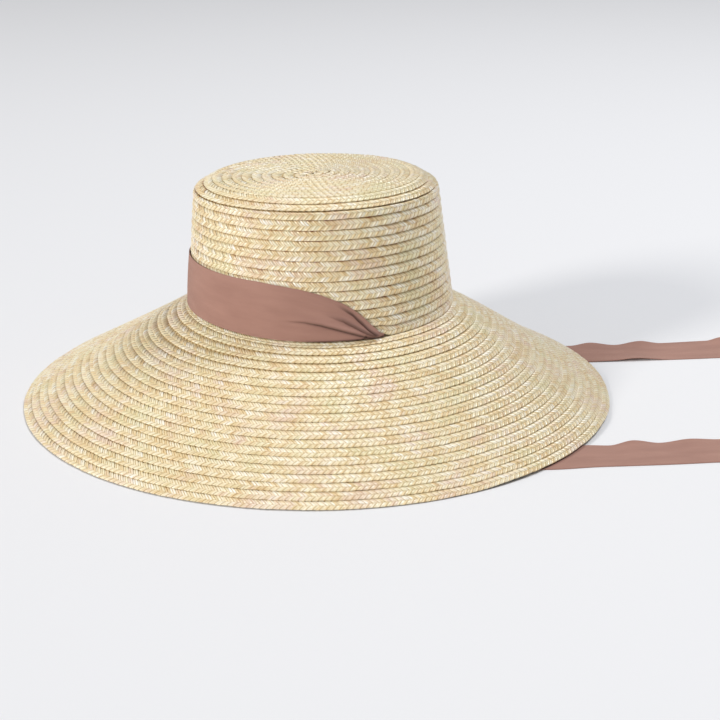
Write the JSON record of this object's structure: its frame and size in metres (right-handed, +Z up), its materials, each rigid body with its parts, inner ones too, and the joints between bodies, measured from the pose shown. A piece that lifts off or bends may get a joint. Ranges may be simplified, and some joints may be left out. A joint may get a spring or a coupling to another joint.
{
  "type": "wide-brim straw hat",
  "caption": "Straw sun hat of sewn braid with a flat-topped crown and a wide sloping brim; a ribbon wraps the crown, passes through its slits and trails behind as ties.",
  "frame": {"origin": "under the middle of the rim, on the plane that the rim rests on", "axes": "+Z up out of the crown, -Y to the front of the hat, +Y to the back where the ties trail, +X to the wearer's left"},
  "size_m": [0.4136, 0.5648, 0.1701],
  "materials": {
    "straw": "plaited natural wheat straw, sewn in rows, pale gold with a waxy sheen",
    "ribbon": "matt dusty rose-brown woven ribbon"
  },
  "bodies": {
    "root": {"crown": "straw", "brim": "straw", "ribbon_band": "ribbon", "ribbon_tie_left": "ribbon", "ribbon_tie_right": "ribbon"}
  },
  "joints": []
}
